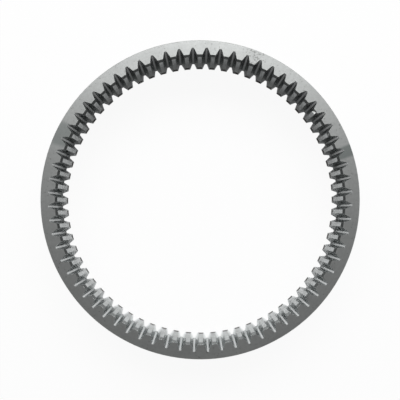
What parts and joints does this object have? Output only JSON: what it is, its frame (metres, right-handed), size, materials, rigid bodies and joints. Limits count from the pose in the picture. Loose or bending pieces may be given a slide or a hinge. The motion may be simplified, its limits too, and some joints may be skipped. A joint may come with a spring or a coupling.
{
  "type": "internal ring gear",
  "caption": "Plain steel annulus with straight involute teeth on its inside, chamfered tooth tips and a smooth round outside.",
  "frame": {"origin": "on the gear axis, at the back face that the gear lies on", "axes": "+Z along the gear axis, from the back face towards the front face; one tooth is centred on +X"},
  "size_m": [0.222, 0.222, 0.036],
  "materials": {
    "gear_steel": "turned faces with fine round tool marks, shaped teeth, light oil film"
  },
  "bodies": {
    "root": {"ring_gear": "gear_steel"}
  },
  "joints": []
}
